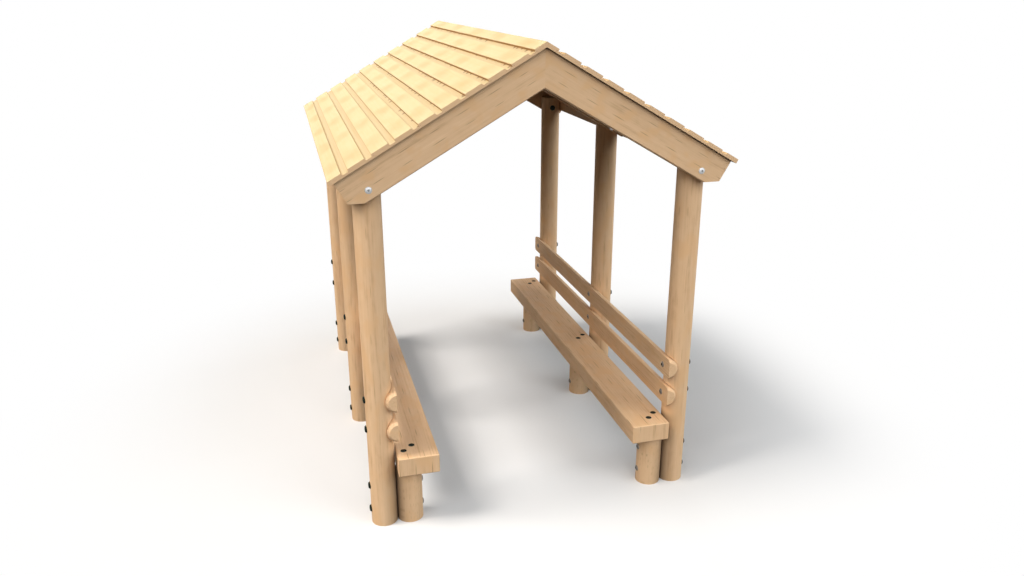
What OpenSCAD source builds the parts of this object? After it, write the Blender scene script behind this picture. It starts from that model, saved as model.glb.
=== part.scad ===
// Open timber garden shelter: six round posts, a bench with a two-rail back along each side,
// and a pitched roof of shiplap boards on three pairs of rafters.
// Millimetres. X runs across the shelter, Y along the ridge with the front at -Y, Z is up.
// The origin is on the ground, in the middle of the plan.

/* [Posts] */
// Diameter of the round posts and of the bench legs
post_d = 125; // [100:1:150]
// Distance across the shelter from post axis to post axis
post_span = 1508; // [1400:1:1800]
// Distance along the shelter between neighbouring post axes
post_pitch = 1080; // [900:1:1300]
// How far the level-cut post tops stay under the roof boards
post_top_clear = 15; // [5:1:40]

/* [Bench] */
// Width of the seat beam
seat_w = 195; // [160:1:240]
// Thickness of the seat beam
seat_t = 95; // [70:1:120]
// How far the seat beam passes the axes of the end posts
seat_past = 100; // [70:1:200]
// Height of the sitting face above the ground
seat_h = 375; // [340:1:440]
// Gap between the seat beam and the posts
seat_gap = 5; // [1:1:15]
// Width of the planed arrises of the seat beam
seat_arris = 4; // [1:1:10]
// Diameter of the counterbores for the seat bolts
plug_d = 31; // [20:1:40]
// Depth of the counterbores
plug_depth = 20; // [8:1:40]
// Distance of the two counterbores from the leg axis, along and across the seat
plug_offset = 22; // [20:1:28]
// Gap between a leg and its post at the line where the rounds meet
leg_gap = 0.3; // [0.2:0.1:5]

/* [Back rails] */
// Diameter of the round that each half-round rail is sawn from
rail_d = 102; // [80:1:110]
// How far the rails pass the axes of the end posts
rail_past = 78; // [45:1:150]
// Width of the bevel round the curved edge of a rail's end
rail_bevel = 12; // [4:1:20]
// How far the flat face of a rail stands in front of the posts
rail_proud = 15; // [5:1:30]
// Height of the lower rail's middle
rail_low_h = 503; // [490:1:560]
// Distance between the middles of the two rails
rail_rise = 152; // [130:1:220]
// How much rounder the notch in a post is than the rail in it
rail_ease = 6; // [1:1:10]
// Gap behind a rail at the bottom of its notch
rail_seat_gap = 0.3; // [0.1:0.1:0.8]

/* [Rafters] */
// Slope of the roof in degrees
pitch = 30; // [22:1:38]
// Height of the level bearing under the end rafters
bearing_h = 1608; // [1500:1:1800]
// How far outside the post axes the level bearing starts
bearing_out = 10; // [0:1:30]
// Depth of the front and back rafters, square to the slope
rafter_depth = 145; // [120:1:170]
// Thickness of the front and back rafters
rafter_t = 70; // [45:1:90]
// Depth of the middle rafters, square to the slope
mid_rafter_depth = 95; // [70:1:110]
// Thickness of the middle rafters
mid_rafter_t = 45; // [35:1:60]
// Width of the planed arrises of the rafters and plates
rafter_arris = 4; // [1:1:8]
// How deep the rafters are let into the posts
rafter_let_in = 14; // [5:1:25]
// How far the rafter tails reach past the post axes at their top corner
rafter_tail = 141; // [130:1:180]

/* [Eaves plates] */
// Thickness of the plates outside the posts that carry the boards along the eaves
plate_t = 40; // [25:1:45]
// Height of a plate's lower edge above the rafter bearing
plate_raise = 30; // [26:1:40]
// Gap between a plate and the round of the posts
plate_gap = 0.3; // [0.1:0.1:0.8]

/* [Roof boards] */
// Thickness of a board
board_t = 20; // [16:1:28]
// Width that a whole board covers
board_cover = 113; // [95:1:140]
// Width that shows of the ripped board at the eaves
eaves_board_w = 96; // [60:1:113]
// Width of the sunk strip between two board faces, cove included
channel_w = 31; // [25:1:36]
// How far the tongue of a board reaches under the board above
board_lap = 9; // [5:1:15]
// Play at the end of a tongue and over it
tongue_play = 0.5; // [0.2:0.1:0.8]
// How far the boards pass the rafter tails, down the slope
eaves_overhang = 17.5; // [5:0.5:40]
// How far the boards pass the faces of the end rafters
verge_overhang = 20; // [5:1:60]
// Least width of the ripped board at the ridge
ridge_board_least = 20; // [15:1:30]

/* [Hidden] */
$fn = 96;
LEFT = -1;
RIGHT = 1;
FRONT = -1;
MIDDLE = 0;
BACK = 1;

// Plan of the posts and legs
post_r = post_d / 2;
post_x = post_span / 2;
leg_x = post_x - post_d - leg_gap;

// Bench: the seat lies on the legs and its outer edge stays off the posts
seat_under = seat_h - seat_t;
seat_x = post_x - post_r - seat_gap - seat_w / 2;
seat_len = 2 * (post_pitch + seat_past);

// Rails: flat faces inward, round backs let into the posts
rail_r = rail_d / 2;
rail_face_x = post_x - post_r - rail_proud;
rail_heights = [rail_low_h, rail_low_h + rail_rise];
rail_len = 2 * (post_pitch + rail_past);
notch_r = rail_r + rail_ease;
notch_x = rail_face_x + rail_r + rail_seat_gap - notch_r;

// Roof lines: the lower edge of an end rafter meets its bearing just outside the post axis
bearing_x = post_x + bearing_out;
under_apex = bearing_h + bearing_x * tan(pitch);
roof_apex = under_apex + rafter_depth / cos(pitch);
tail_x = post_x + rafter_tail;
tail_cut_x = tail_x - (roof_under(tail_x) - bearing_h) * tan(pitch);
post_top = roof_under(post_x + post_r) - post_top_clear;

// Faces of the rafters along the ridge
end_rafter_in_y = post_pitch + post_r - rafter_let_in;
end_rafter_out_y = end_rafter_in_y + rafter_t;
mid_rafter_back_y = rafter_let_in - post_r;

// Eaves plates stand outside the posts and butt against the end rafters
plate_x = post_x + post_r + plate_gap;
plate_under = bearing_h + plate_raise;
plate_len = 2 * end_rafter_in_y;

// Boards, in widths down the slope from the line where their undersides meet
ridge_rise = board_t * tan(pitch);
slope_end = tail_x / cos(pitch) + eaves_overhang;
slope_w = slope_end + ridge_rise;
whole_boards = floor((slope_w - eaves_board_w - ridge_board_least) / board_cover);
boards = whole_boards + 2;
tongue_t = board_t / 2;
cove_r = board_t - tongue_t + tongue_play;
board_len = 2 * (end_rafter_out_y + verge_overhang);

post_colour = "#c79c6c";
leg_colour = "#c2976a";
seat_colour = "#caa173";
rail_colour = "#c49868";
rafter_colour = "#c9a06e";
plate_colour = "#a57f57";
board_colour = "#f2dca6";

SIDES = [["left", LEFT], ["right", RIGHT]];
ROWS = [["front", FRONT], ["middle", MIDDLE], ["back", BACK]];
RAILS = ["lower", "upper"];
function post_name(row, side) = str(row[0], "_", side[0], "_post");
function rafter_name(row, side) = str(row[0], "_", side[0], "_rafter");
function rail_name(side, i) = str(side[0], "_", RAILS[i], "_rail");
function board_name(side, i) = str(side[0], "_roof_board_", i + 1);

// Height of the roof's underside at a distance from the ridge line
function roof_under(x) = roof_apex - x * tan(pitch);

// Lower edge of a board down the slope, counted from the ridge board
function board_edge(i) = i == boards - 1 ? slope_end : slope_end - eaves_board_w - (boards - 2 - i) * board_cover;

// The right-hand piece, or its mirror image on the left
module on_side(side) {
    mirror([side == LEFT ? 1 : 0, 0, 0]) children();
}

// The right-hand piece, or the same piece turned end for end on the left
module turned_to(side) {
    rotate([0, 0, side == LEFT ? 180 : 0]) children();
}

// A profile drawn in X and Z, carried along Y from one place to another
module along_y(from, to) {
    translate([0, to, 0]) rotate([90, 0, 0]) linear_extrude(height = to - from) children();
}

// Rectangle about its middle, with its four corners planed off
module planed_rect(w, h, arris) {
    polygon([
        for (corner = [[1, 1], [-1, 1], [-1, -1], [1, -1]])
            for (cut = corner[0] == corner[1] ? [[0, 1], [1, 0]] : [[1, 0], [0, 1]])
                [corner[0] * (w / 2 - cut[0] * arris), corner[1] * (h / 2 - cut[1] * arris)]]);
}

// End rafter: plumb mitre at the ridge, tail cut square to the slope, level bearing at the post
module end_rafter_profile() {
    polygon([
        [0, under_apex], [0, roof_apex], [tail_x, roof_under(tail_x)],
        [tail_cut_x, bearing_h], [bearing_x, bearing_h]]);
}

// Middle rafter: plumb mitre at the ridge and plumb cut against the eaves plate
module mid_rafter_profile() {
    drop = mid_rafter_depth / cos(pitch);
    polygon([
        [0, roof_apex - drop], [0, roof_apex],
        [plate_x, roof_under(plate_x)], [plate_x, roof_under(plate_x) - drop]]);
}

// Square-edged block of a row's rafter, which is also the housing cut into its post
module rafter_block(row) {
    if (row == FRONT) along_y(-end_rafter_out_y, -end_rafter_in_y) end_rafter_profile();
    if (row == MIDDLE) along_y(mid_rafter_back_y - mid_rafter_t, mid_rafter_back_y) mid_rafter_profile();
    if (row == BACK) along_y(end_rafter_in_y, end_rafter_out_y) end_rafter_profile();
}

// Round post, notched for the two rails and housed for its rafter
module post(row, side) {
    color(post_colour) on_side(side) difference() {
        translate([post_x, row * post_pitch, 0]) cylinder(d = post_d, h = post_top);
        for (h = rail_heights)
            along_y(row * post_pitch - post_d, row * post_pitch + post_d)
                translate([notch_x, h]) circle(r = notch_r);
        rafter_block(row);
    }
}

// Three short round legs, one against each post
module bench_legs(side) {
    color(leg_colour) on_side(side)
        for (row = ROWS)
            translate([leg_x, row[1] * post_pitch, 0]) cylinder(d = post_d, h = seat_under);
}

// Squared seat beam, all its edges planed off, with two counterbores over each leg
module seat(side) {
    color(seat_colour) turned_to(side) difference() {
        translate([seat_x, 0, seat_h - seat_t / 2]) intersection() {
            rotate([90, 0, 0]) linear_extrude(height = seat_len, center = true)
                planed_rect(seat_w, seat_t, seat_arris);
            rotate([90, 0, 90]) linear_extrude(height = seat_w, center = true)
                planed_rect(seat_len, seat_t, seat_arris);
            linear_extrude(height = seat_t, center = true)
                planed_rect(seat_w, seat_len, seat_arris);
        }
        for (row = ROWS)
            for (step = [-plug_offset, plug_offset])
                translate([leg_x + step, row[1] * post_pitch + step, seat_h - plug_depth])
                    cylinder(d = plug_d, h = seat_t);
    }
}

// Round timber about the Z axis, bevelled at both ends
module bevelled_round(r, length, bevel) {
    end = length / 2;
    rotate_extrude()
        polygon([
            [0, -end], [r - bevel, -end], [r, bevel - end],
            [r, end - bevel], [r - bevel, end], [0, end]]);
}

// Half-round back rail: a bevelled round sawn down the middle
module rail(side, height) {
    color(rail_colour) on_side(side) translate([rail_face_x, 0, height]) difference() {
        rotate([90, 0, 0]) bevelled_round(rail_r, rail_len, rail_bevel);
        translate([-rail_d, -rail_len, -rail_d]) cube([rail_d, 2 * rail_len, 2 * rail_d]);
    }
}

// Planed stock that lies under the boards, from the ridge down the slope
module rafter_stock(depth, thickness) {
    translate([0, 0, roof_apex]) rotate([0, pitch, 0])
        translate([-depth, 0, -depth / 2]) rotate([0, 90, 0])
            linear_extrude(height = depth + slope_end) planed_rect(depth, thickness, rafter_arris);
}

// Rafter sawn to its outline from planed stock
module rafter(row, side) {
    color(rafter_colour) on_side(side) intersection() {
        rafter_block(row);
        if (row == MIDDLE)
            translate([0, mid_rafter_back_y - mid_rafter_t / 2, 0]) rafter_stock(mid_rafter_depth, mid_rafter_t);
        else
            translate([0, row * (end_rafter_in_y + rafter_t / 2), 0]) rafter_stock(rafter_depth, rafter_t);
    }
}

// Plate along the eaves, its top planed to the slope of the boards
module eaves_plate(side) {
    outer_x = plate_x + plate_t;
    color(plate_colour) on_side(side) along_y(-plate_len / 2, plate_len / 2)
        polygon([
            [plate_x + rafter_arris, plate_under], [plate_x, plate_under + rafter_arris],
            [plate_x, roof_under(plate_x)], [outer_x, roof_under(outer_x)],
            [outer_x, plate_under + rafter_arris], [outer_x - rafter_arris, plate_under]]);
}

// Section of a shiplap board: a tongue with a cove over it at the upper edge, a rebate under the
// lower edge that laps the next tongue. The ridge board has a plumb upper edge instead of a tongue,
// and the board at the eaves is ripped square without a rebate.
module board_section(i) {
    low = board_edge(i);
    is_ridge = i == 0;
    is_eaves = i == boards - 1;
    high = is_ridge ? 0 : board_edge(i - 1);
    tongue_end = high - board_lap;
    cove_low = high + channel_w - cove_r;
    difference() {
        polygon(is_ridge
            ? [[0, 0], [low, 0], [low, board_t], [-ridge_rise, board_t]]
            : [[tongue_end, 0], [low, 0], [low, board_t], [tongue_end, board_t]]);
        if (!is_ridge) {
            translate([tongue_end - board_t, tongue_t - tongue_play])
                square([cove_low - tongue_end + board_t, board_t]);
            translate([cove_low, board_t]) circle(r = cove_r);
        }
        if (!is_eaves)
            translate([low - board_lap - tongue_play, -tongue_t])
                square([board_lap + tongue_play + board_t, 2 * tongue_t]);
    }
}

module roof_board(side, i) {
    color(board_colour) on_side(side)
        translate([0, 0, roof_apex]) rotate([0, pitch, 0])
            along_y(-board_len / 2, board_len / 2) board_section(i);
}

for (side = SIDES) {
    for (row = ROWS) {
        post(row[1], side[1]);
        rafter(row[1], side[1]);
    }
    bench_legs(side[1]);
    seat(side[1]);
    for (i = [0, 1])
        rail(side[1], rail_heights[i]);
    eaves_plate(side[1]);
    for (i = [0 : boards - 1])
        roof_board(side[1], i);
}
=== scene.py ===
"""Garden gazebo with benches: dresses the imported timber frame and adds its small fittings.

The posts, benches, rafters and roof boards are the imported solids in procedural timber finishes. The bolt
heads, nut caps and seat plugs are turned forms worked out with numpy. The floor, the light and the camera are
set first.
"""

import logging
import math
from collections.abc import Iterable, Mapping, Sequence
from dataclasses import dataclass, replace
from enum import Enum
from functools import cached_property, partialmethod
from itertools import product
from typing import ClassVar

import bpy
import numpy as np
from mathutils import Matrix, Vector


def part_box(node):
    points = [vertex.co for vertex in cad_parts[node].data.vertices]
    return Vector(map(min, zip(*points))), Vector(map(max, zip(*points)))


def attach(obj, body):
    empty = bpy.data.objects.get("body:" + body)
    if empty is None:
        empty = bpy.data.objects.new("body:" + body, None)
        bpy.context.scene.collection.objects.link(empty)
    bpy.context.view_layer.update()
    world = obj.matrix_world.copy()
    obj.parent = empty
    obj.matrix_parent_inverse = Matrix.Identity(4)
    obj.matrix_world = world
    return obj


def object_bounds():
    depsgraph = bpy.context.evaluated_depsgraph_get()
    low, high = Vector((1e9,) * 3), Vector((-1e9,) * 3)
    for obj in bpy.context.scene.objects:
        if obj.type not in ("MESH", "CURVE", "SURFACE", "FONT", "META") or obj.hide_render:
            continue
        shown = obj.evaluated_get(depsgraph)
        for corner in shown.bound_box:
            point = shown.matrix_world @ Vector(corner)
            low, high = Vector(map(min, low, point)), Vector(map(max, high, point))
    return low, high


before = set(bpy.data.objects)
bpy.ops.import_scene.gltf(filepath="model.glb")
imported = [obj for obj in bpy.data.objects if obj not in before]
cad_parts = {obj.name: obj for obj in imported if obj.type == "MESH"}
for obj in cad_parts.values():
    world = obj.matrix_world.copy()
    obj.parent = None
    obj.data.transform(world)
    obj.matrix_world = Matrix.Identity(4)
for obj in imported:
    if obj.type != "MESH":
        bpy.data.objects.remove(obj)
CAD_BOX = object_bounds()
LOG = logging.getLogger("gazebo")

BODY = "root"
ROOF_PITCH = math.radians(30.0)
MM = 0.001

Colour = tuple[float, float, float]
Point = tuple[float, float, float]
Span = tuple[float, float]
Spot = tuple[Point, Point]
Socket = bpy.types.NodeSocket
Tree = bpy.types.NodeTree
Material = bpy.types.Material


class Side(Enum):
    """The two sides of the shelter, seen from the front."""

    LEFT = "left"
    RIGHT = "right"

    @property
    def sign(self) -> float:
        """The sign of X on this side."""
        return -1.0 if self is Side.LEFT else 1.0


class Row(Enum):
    """The three rows of posts, from the front to the back."""

    FRONT = "front"
    MIDDLE = "middle"
    BACK = "back"


class GrainRun(Enum):
    """How the grain of a piece runs through the shelter."""

    UPRIGHT = "upright"
    LENGTHWISE = "lengthwise"
    LEFT_RAFTER = "left_rafter"
    RIGHT_RAFTER = "right_rafter"
    LEFT_BOARD = "left_board"
    RIGHT_BOARD = "right_board"

    @property
    def axes(self) -> tuple[Point, Point, Point]:
        """The grain's own axes.

        Returns:
            The ways along the grain, across it and through the piece.
        """
        c, s = math.cos(ROOF_PITCH), math.sin(ROOF_PITCH)
        return {
            GrainRun.UPRIGHT: ((0, 0, 1), (1, 0, 0), (0, 1, 0)),
            GrainRun.LENGTHWISE: ((0, 1, 0), (0, 0, 1), (1, 0, 0)),
            GrainRun.LEFT_RAFTER: ((c, 0, s), (-s, 0, c), (0, -1, 0)),
            GrainRun.RIGHT_RAFTER: ((c, 0, -s), (s, 0, c), (0, -1, 0)),
            GrainRun.LEFT_BOARD: ((0, 1, 0), (-c, 0, -s), (-s, 0, c)),
            GrainRun.RIGHT_BOARD: ((0, -1, 0), (c, 0, -s), (s, 0, c)),
        }[self]

    @property
    def turn(self) -> Point:
        """The Euler angles of the grain's own axes."""
        return tuple(Matrix(self.axes).transposed().to_euler())


@dataclass(frozen=True)
class Grain:
    """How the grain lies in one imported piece.

    It has its run, a point on the pith line, the pattern's own shift, the place of one of the dark dashes
    along the grain, and the place of one of those on the end faces.
    """

    run: GrainRun
    pith: Point
    shift: float
    dash: Point = (0.0, 0.0, 0.0)
    end_dash: Point = (0.0, 0.0, 0.0)

    def place(self, point: Point) -> np.ndarray:
        """A point in the grain's own axes: (point - pith) . axis, for each axis."""
        return np.array(self.run.axes) @ (np.array(point) - np.array(self.pith))

    def reach(self, node: str) -> Span:
        """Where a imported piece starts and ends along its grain, in metres from the pith point."""
        along = [self.place(corner.co)[0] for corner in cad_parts[node].data.vertices]
        return float(min(along)), float(max(along))


@dataclass
class NodeSheet:
    """Lays nodes in one node tree and joins their sockets."""

    tree: Tree

    def add(
        self, kind: str, feeds: Mapping[int | str, object] | None = None, **settings: object
    ) -> bpy.types.Node:
        """Adds a node, sets its options and feeds its inputs.

        Args:
            kind: The node's Blender type name.
            feeds: The inputs' values or sockets, by number or name.
            settings: The options to set on it, by name.

        Returns:
            The new node.
        """
        node = self.tree.nodes.new(kind)
        for name, value in settings.items():
            setattr(node, name, value)
        self.feed(node.inputs, feeds or {})
        return node

    def feed(self, inputs: bpy.types.NodeInputs, feeds: Mapping[int | str, object]) -> None:
        """Links inputs to other sockets, or sets their plain values.

        Args:
            inputs: The inputs of one node.
            feeds: The values or sockets, by the inputs' numbers or names.
        """
        for key, value in feeds.items():
            if isinstance(value, Socket):
                self.tree.links.new(value, inputs[key])
            else:
                inputs[key].default_value = value

    def here(self) -> Socket:
        """The position in the shelter's own axes."""
        return self.add("ShaderNodeTexCoord").outputs["Object"]

    def math(self, operation: str, *values: object) -> Socket:
        """One sum on one, two or three values or sockets."""
        return self.add("ShaderNodeMath", dict(enumerate(values)), operation=operation).outputs[0]

    plus = partialmethod(math, "ADD")
    minus = partialmethod(math, "SUBTRACT")
    times = partialmethod(math, "MULTIPLY")
    over = partialmethod(math, "DIVIDE")

    def length(self, *parts: object) -> Socket:
        """The length of a flat vector: the square root of the sum of its two parts' squares."""
        squares = (self.times(part, part) for part in parts)
        return self.math("SQRT", self.plus(*squares))

    def weighted(self, start: object, terms: Iterable[tuple[object, object, float]]) -> Socket:
        """Adds weighted terms to a start value: start + sum of weight x (value - middle).

        Args:
            start: The value or socket to start from.
            terms: Each term's value, weight and middle.

        Returns:
            The sum's socket.
        """
        total = start
        for value, weight, middle in terms:
            total = self.plus(total, self.times(self.minus(value, middle), weight))
        return total

    def between(self, share: Socket, ends: Span) -> Socket:
        """A value between two ends: share x (last - first) + first."""
        return self.math("MULTIPLY_ADD", share, ends[1] - ends[0], ends[0])

    def remap(self, value: object, low: object, high: object, to: Span = (0.0, 1.0)) -> Socket:
        """Carries a value smoothly from the range between low and high to another one."""
        feeds = dict(enumerate((value, low, high, *to)))
        return self.add("ShaderNodeMapRange", feeds, interpolation_type="SMOOTHSTEP").outputs[0]

    def split(self, vector: Socket) -> tuple[Socket, ...]:
        """The three parts of a vector."""
        return tuple(self.add("ShaderNodeSeparateXYZ", {0: vector}).outputs)

    def join(self, *parts: object) -> Socket:
        """A vector from its parts, with 0 for a part that isn't given."""
        return self.add("ShaderNodeCombineXYZ", dict(enumerate(parts))).outputs[0]

    def stretch(self, vector: Socket, scale: Sequence[object]) -> Socket:
        """Multiplies each part of a vector by its own scale."""
        return self.join(*map(self.times, self.split(vector), scale))

    def noise(self, vector: Socket, detail: float = 1.0, colour: bool = False) -> Socket:
        """Soft noise about one unit across, as one value or as the three of a colour."""
        node = self.add("ShaderNodeTexNoise", {"Vector": vector, "Scale": 1.0, "Detail": detail})
        return node.outputs["Color" if colour else "Fac"]

    def cells(self, spot: Socket, scatter: object) -> tuple[tuple[Socket, ...], tuple[Socket, ...]]:
        """A loose lattice of points, one in each square of one unit.

        Args:
            spot: Where to read the lattice. Its first two parts count.
            scatter: How far the points leave the corners of their squares, from 0 to 1.

        Returns:
            The offset from the nearest point, part by part, and three chance values of that point.
        """
        feeds = {"Vector": spot, "Scale": 1.0, "Randomness": scatter}
        nearest = self.add("ShaderNodeTexVoronoi", feeds, voronoi_dimensions="2D", feature="F1").outputs
        ends = {0: spot, 1: nearest["Position"]}
        offset = self.add("ShaderNodeVectorMath", ends, operation="SUBTRACT").outputs[0]
        return self.split(offset), self.split(nearest["Color"])

    def either(self, share: object, low: Socket, high: Socket) -> Socket:
        """Mixes two positions."""
        return self.add("ShaderNodeMix", {0: share, 4: low, 5: high}, data_type="VECTOR").outputs[1]

    def blend(self, share: object, low: Socket, high: Socket) -> Socket:
        """Mixes two shaders."""
        return self.add("ShaderNodeMixShader", {0: share, 1: low, 2: high}).outputs[0]

    def tint(self, share: object, low: object, high: object) -> Socket:
        """Mixes two colours, each given as a colour or a socket."""
        first, second = ((*end, 1.0) if isinstance(end, tuple) else end for end in (low, high))
        return self.add("ShaderNodeMix", {0: share, 6: first, 7: second}, data_type="RGBA").outputs[2]

    def bump(self, height: Socket, strength: float, depth: float) -> Socket:
        """The normal of a surface with a height pattern, where a height of 1 is a depth in metres."""
        feeds = {"Strength": strength, "Distance": depth, "Height": height}
        return self.add("ShaderNodeBump", feeds).outputs["Normal"]

    def place(self, group: Tree, **values: object) -> Mapping[str, Socket]:
        """Places a node group and gives its outputs. An input's name has underscores for its spaces."""
        feeds = {name.replace("_", " ").title(): value for name, value in values.items()}
        return self.add("ShaderNodeGroup", feeds, node_tree=group).outputs


class MaterialSheet(NodeSheet):
    """A material under construction."""

    def __init__(self, name: str) -> None:
        """Makes the material and finds its shader.

        Args:
            name: The material's name.
        """
        self.material = bpy.data.materials.new(name)
        self.material.use_nodes = True
        super().__init__(self.material.node_tree)
        self.shader = self.tree.nodes["Principled BSDF"]

    def shade(self, values: Mapping[str, object]) -> Material:
        """Feeds the shader's inputs by their names, and gives the material."""
        self.feed(self.shader.inputs, values)
        return self.material


class GroupSheet(NodeSheet):
    """A shader node group under construction, with named inputs and outputs."""

    def __init__(self, name: str, inputs: Sequence[str], outputs: Sequence[str]) -> None:
        """Makes the group's tree and its sockets.

        Args:
            name: The group's name.
            inputs: The inputs' names. Position is a vector, and the others are values.
            outputs: The outputs' names, all values.
        """
        super().__init__(bpy.data.node_groups.new(name, "ShaderNodeTree"))
        for label in inputs:
            kind = "NodeSocketVector" if label == "Position" else "NodeSocketFloat"
            self.tree.interface.new_socket(name=label, in_out="INPUT", socket_type=kind)
        for label in outputs:
            self.tree.interface.new_socket(name=label, in_out="OUTPUT", socket_type="NodeSocketFloat")
        self.given = self.add("NodeGroupInput").outputs
        self.result = self.add("NodeGroupOutput").inputs

    def give(self, **results: Socket) -> Tree:
        """Feeds the outputs, by their names in small letters, and gives the finished tree."""
        self.feed(self.result, {name.title(): value for name, value in results.items()})
        return self.tree


class TimberPatterns:
    """The node groups that the timber finishes share. Lengths are in metres, and cells count per metre."""

    SHIFT_WAY = (1.0, 0.37, 0.71)
    # Each grain layer's cells along, across and through the piece, and its detail
    GRAIN_LAYERS = {
        "fine": ((6.0, 300.0, 300.0), 2.0),
        "broad": ((2.4, 95.0, 95.0), 1.0),
        "fibres": ((14.0, 620.0, 620.0), 1.0),
        "bands": ((1.8, 24.0, 24.0), 1.0),
        "mottle": ((17.0, 38.0, 38.0), 2.0),
    }
    CLOUD_CELLS, CLOUD_DETAIL, CLOUD_RANGE = 16.0, 1.5, (0.46, 0.70)
    WANDER_CELLS, WANDER = (1.3, 0.5, 0.5), 0.05
    RING_BEND, RING_POWER, RING_MIDDLE = 1.6, 2.5, 0.3
    FIBRE_HEIGHT, BROAD_HEIGHT, RING_HEIGHT = 0.9, 0.7, 0.25
    # A dash's half length as a share of its length, its depth of colour, and its edge
    DASH_HALF, DASH_DEPTH, DASH_EDGE = (0.38, 0.62), (0.65, 1.0), (1.0, 0.3)
    # How the painted shade between a bench leg and its post fades out above the seat's top, and how it falls
    # off
    CONTACT_FADE, CONTACT_POWER = (0.050, -0.010), 1.2
    # Where the parts of a board start and end to show, over their depth or their distance; the cove, the
    # lower edge with its step and the underside carry painted shade
    COVE, STEP_TOP, STEP_FOOT, STEP_SHARE = (0.0004, 0.0030), (0.0003, 0.0016), (0.0080, 0.0045), 0.85
    LOWER, UNDER, END = (0.0035, 0.0003), (0.0030, 0.0005), (0.0006, 0.0002)
    # The blotches: how noise bends them, how far up the face they lie, their half sizes and their strength
    BEND_CELLS, BEND_ALONG, BEND_DOWN = (9.0, 16.0, 1.0), 0.14, 0.03
    BLOTCH_UP, BLOTCH_TURNS, BLOTCH_HALF, BLOTCH_EDGE = 0.042, 0.32, 0.066, (1.05, 0.1)
    STRENGTH_CELLS, STRENGTH_RANGE, STRENGTH = (3.0, 12.0, 1.0), (0.2, 0.6), (0.45, 1.0)
    # The ticks, small wedges of painted shadow: how dense they are, how long, how wide at the root and the
    # tip, and how they gather
    TICK_CELLS, TICK_LENGTH, TICK_HALF, TICK_EDGE = 15.0, (0.007, 0.017), (0.24, 0.04), (0.05, -0.05)
    TICK_TIP, PATCH_CELLS, PATCH_LOOSE = (1.1, 0.7), (2.6, 2.0, 1.0), 0.18

    def shifted(self, sheet: GroupSheet) -> Socket:
        """The group's position moved by its shift, so that each piece shows its own patch of the pattern.

        Args:
            sheet: The group, with the inputs Position and Shift.

        Returns:
            The moved position.
        """
        steps = (sheet.times(sheet.given["Shift"], share) for share in self.SHIFT_WAY)
        ends = {0: sheet.given["Position"], 1: sheet.join(*steps)}
        return sheet.add("ShaderNodeVectorMath", ends, operation="ADD").outputs[0]

    @cached_property
    def grain(self) -> Tree:
        """Long grain: fine and broad streaks, rings round a wandering pith, bands, mottle and soft blotches.

        The tone is 0.5 plus each layer's swing about its own middle. A ring's phase is the distance from the
        pith over the ring spacing, and the pith wanders with soft noise along the piece.

        Returns:
            The group, which gives a tone about 0.5, a mask of the warm blotches and a height for the fibres.
        """
        names = ("Position", "Shift", "Ring Spacing", "Rings", "Streaks", "Bands", "Mottle", "Blotch Length")
        sheet = GroupSheet("timber_grain", names, ("Tone", "Blotch", "Height"))
        given, spot = sheet.given, self.shifted(sheet)
        layer = {
            name: sheet.noise(sheet.stretch(spot, cells), detail)
            for name, (cells, detail) in self.GRAIN_LAYERS.items()
        }
        along = sheet.over(1.0, given["Blotch Length"])
        cells = (along, self.CLOUD_CELLS, self.CLOUD_CELLS)
        cloud = sheet.noise(sheet.stretch(spot, cells), self.CLOUD_DETAIL)
        drift = sheet.split(sheet.noise(sheet.stretch(spot, self.WANDER_CELLS), detail=0.0, colour=True))
        away = sheet.length(*(
            sheet.weighted(part, [(swing, self.WANDER, 0.5)])
            for part, swing in zip(sheet.split(given["Position"])[1:], drift)
        ))
        turns = sheet.over(away, given["Ring Spacing"])
        phase = sheet.math("MULTIPLY_ADD", layer["bands"], self.RING_BEND, turns)
        swing = sheet.math("SINE", sheet.times(phase, 2.0 * math.pi))
        rings = sheet.math("POWER", sheet.math("MULTIPLY_ADD", swing, 0.5, 0.5), self.RING_POWER)
        tone = sheet.weighted(0.5, (
            (layer["fine"], given["Streaks"], 0.5),
            (layer["broad"], given["Streaks"], 0.5),
            (layer["bands"], given["Bands"], 0.5),
            (layer["mottle"], given["Mottle"], 0.5),
            (rings, sheet.times(given["Rings"], -1.0), self.RING_MIDDLE),
        ))
        height = sheet.weighted(0.5, (
            (layer["fibres"], self.FIBRE_HEIGHT, 0.5),
            (layer["broad"], self.BROAD_HEIGHT, 0.5),
            (rings, self.RING_HEIGHT, self.RING_MIDDLE),
        ))
        return sheet.give(tone=tone, blotch=sheet.remap(cloud, *self.CLOUD_RANGE), height=height)

    @cached_property
    def dashes(self) -> Tree:
        """Short dark dashes along the grain, in rows.

        Each cell of a lattice, one pitch long and one row wide, holds one point, and one of them is the
        first. A dash is the narrow ellipse round its point, and a share of the cells has one. Shift moves the
        chance from cell to cell, in whole cells.

        Returns:
            The group, which gives a mask of the dashes.
        """
        names = (
            "Position", "Shift", "First Along", "First Rise", "Pitch", "Row", "Length", "Width", "Scatter",
            "Share",
        )
        sheet = GroupSheet("grain_dashes", names, ("Mask",))
        given = sheet.given
        along, across, through = sheet.split(given["Position"])
        rise = sheet.plus(across, through)
        lattice = []
        for value, first, step in ((along, "First Along", "Pitch"), (rise, "First Rise", "Row")):
            steps = sheet.over(sheet.minus(value, given[first]), given[step])
            lattice.append(sheet.plus(steps, given["Shift"]))
        (off_along, off_across, _), (chance, long, dark) = sheet.cells(sheet.join(*lattice), given["Scatter"])
        half_length = sheet.times(given["Length"], sheet.between(long, self.DASH_HALF))
        half_width = sheet.times(given["Width"], 0.5)
        reach = sheet.over(sheet.times(off_along, given["Pitch"]), half_length)
        spread = sheet.over(sheet.times(off_across, given["Row"]), half_width)
        ellipse = sheet.remap(sheet.length(reach, spread), *self.DASH_EDGE)
        kept = sheet.math("LESS_THAN", chance, given["Share"])
        depth = sheet.between(dark, self.DASH_DEPTH)
        return sheet.give(mask=sheet.times(sheet.times(ellipse, kept), depth))

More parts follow.
